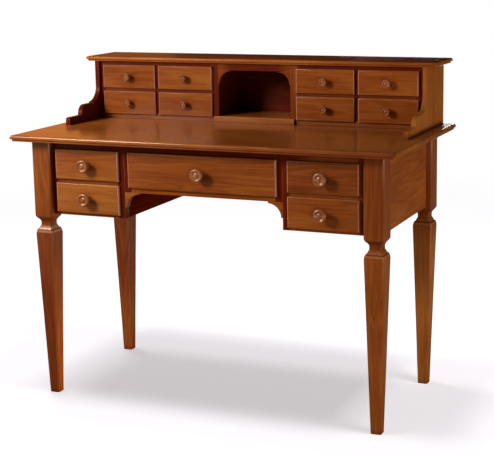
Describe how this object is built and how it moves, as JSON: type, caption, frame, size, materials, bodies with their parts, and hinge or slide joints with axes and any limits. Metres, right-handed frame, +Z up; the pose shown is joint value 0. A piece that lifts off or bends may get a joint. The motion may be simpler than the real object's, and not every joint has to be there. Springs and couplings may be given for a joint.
{
  "type": "writing desk",
  "caption": "Wooden bonheur du jour writing desk on square necked tapered legs, with kneehole drawers and a raised back cabinet of small drawers round an arched niche.",
  "frame": {"origin": "on the floor under the middle of the writing top", "axes": "+X to the right along the length, +Y to the back, +Z up; the drawers open towards -Y"},
  "size_m": [1.15, 0.6, 0.973],
  "materials": {
    "case_wood": "satin-gloss lacquered walnut-brown hardwood",
    "inner_wood": "plain planed drawer-lining wood",
    "knob_wood": "turned and polished hardwood"
  },
  "bodies": {
    "desk": {"writing_top": "case_wood", "leg_front_left": "case_wood", "leg_front_right": "case_wood", "leg_back_left": "case_wood", "leg_back_right": "case_wood", "side_panel_left": "case_wood", "side_panel_right": "case_wood", "knee_panel_left": "case_wood", "knee_panel_right": "case_wood", "back_panel": "case_wood", "front_frame": "case_wood", "knee_brackets": "case_wood", "drawer_runners": "inner_wood", "hutch_top": "case_wood", "hutch_side_left": "case_wood", "hutch_side_right": "case_wood", "hutch_back": "case_wood", "hutch_base": "case_wood", "hutch_partitions": "case_wood", "hutch_shelves": "case_wood", "hutch_rails": "case_wood"},
    "case_left_upper_drawer": {"case_left_upper_front": "case_wood", "case_left_upper_box": "inner_wood", "case_left_upper_knob": "knob_wood"},
    "case_left_lower_drawer": {"case_left_lower_front": "case_wood", "case_left_lower_box": "inner_wood", "case_left_lower_knob": "knob_wood"},
    "case_centre_drawer": {"case_centre_front": "case_wood", "case_centre_box": "inner_wood", "case_centre_knob": "knob_wood"},
    "case_right_upper_drawer": {"case_right_upper_front": "case_wood", "case_right_upper_box": "inner_wood", "case_right_upper_knob": "knob_wood"},
    "case_right_lower_drawer": {"case_right_lower_front": "case_wood", "case_right_lower_box": "inner_wood", "case_right_lower_knob": "knob_wood"},
    "hutch_upper_1_drawer": {"hutch_upper_1_front": "case_wood", "hutch_upper_1_box": "inner_wood", "hutch_upper_1_knob": "knob_wood"},
    "hutch_upper_2_drawer": {"hutch_upper_2_front": "case_wood", "hutch_upper_2_box": "inner_wood", "hutch_upper_2_knob": "knob_wood"},
    "hutch_upper_3_drawer": {"hutch_upper_3_front": "case_wood", "hutch_upper_3_box": "inner_wood", "hutch_upper_3_knob": "knob_wood"},
    "hutch_upper_4_drawer": {"hutch_upper_4_front": "case_wood", "hutch_upper_4_box": "inner_wood", "hutch_upper_4_knob": "knob_wood"},
    "hutch_lower_1_drawer": {"hutch_lower_1_front": "case_wood", "hutch_lower_1_box": "inner_wood", "hutch_lower_1_knob": "knob_wood"},
    "hutch_lower_2_drawer": {"hutch_lower_2_front": "case_wood", "hutch_lower_2_box": "inner_wood", "hutch_lower_2_knob": "knob_wood"},
    "hutch_lower_3_drawer": {"hutch_lower_3_front": "case_wood", "hutch_lower_3_box": "inner_wood", "hutch_lower_3_knob": "knob_wood"},
    "hutch_lower_4_drawer": {"hutch_lower_4_front": "case_wood", "hutch_lower_4_box": "inner_wood", "hutch_lower_4_knob": "knob_wood"}
  },
  "joints": [
    {"name": "case_left_upper_slide", "type": "slide", "parent": "desk", "child": "case_left_upper_drawer", "axis": [0, -1, 0], "range_m": [0, 0.3]},
    {"name": "case_left_lower_slide", "type": "slide", "parent": "desk", "child": "case_left_lower_drawer", "axis": [0, -1, 0], "range_m": [0, 0.3]},
    {"name": "case_centre_slide", "type": "slide", "parent": "desk", "child": "case_centre_drawer", "axis": [0, -1, 0], "range_m": [0, 0.3]},
    {"name": "case_right_upper_slide", "type": "slide", "parent": "desk", "child": "case_right_upper_drawer", "axis": [0, -1, 0], "range_m": [0, 0.3]},
    {"name": "case_right_lower_slide", "type": "slide", "parent": "desk", "child": "case_right_lower_drawer", "axis": [0, -1, 0], "range_m": [0, 0.3]},
    {"name": "hutch_upper_1_slide", "type": "slide", "parent": "desk", "child": "hutch_upper_1_drawer", "axis": [0, -1, 0], "range_m": [0, 0.1]},
    {"name": "hutch_upper_2_slide", "type": "slide", "parent": "desk", "child": "hutch_upper_2_drawer", "axis": [0, -1, 0], "range_m": [0, 0.1]},
    {"name": "hutch_upper_3_slide", "type": "slide", "parent": "desk", "child": "hutch_upper_3_drawer", "axis": [0, -1, 0], "range_m": [0, 0.1]},
    {"name": "hutch_upper_4_slide", "type": "slide", "parent": "desk", "child": "hutch_upper_4_drawer", "axis": [0, -1, 0], "range_m": [0, 0.1]},
    {"name": "hutch_lower_1_slide", "type": "slide", "parent": "desk", "child": "hutch_lower_1_drawer", "axis": [0, -1, 0], "range_m": [0, 0.1]},
    {"name": "hutch_lower_2_slide", "type": "slide", "parent": "desk", "child": "hutch_lower_2_drawer", "axis": [0, -1, 0], "range_m": [0, 0.1]},
    {"name": "hutch_lower_3_slide", "type": "slide", "parent": "desk", "child": "hutch_lower_3_drawer", "axis": [0, -1, 0], "range_m": [0, 0.1]},
    {"name": "hutch_lower_4_slide", "type": "slide", "parent": "desk", "child": "hutch_lower_4_drawer", "axis": [0, -1, 0], "range_m": [0, 0.1]}
  ]
}
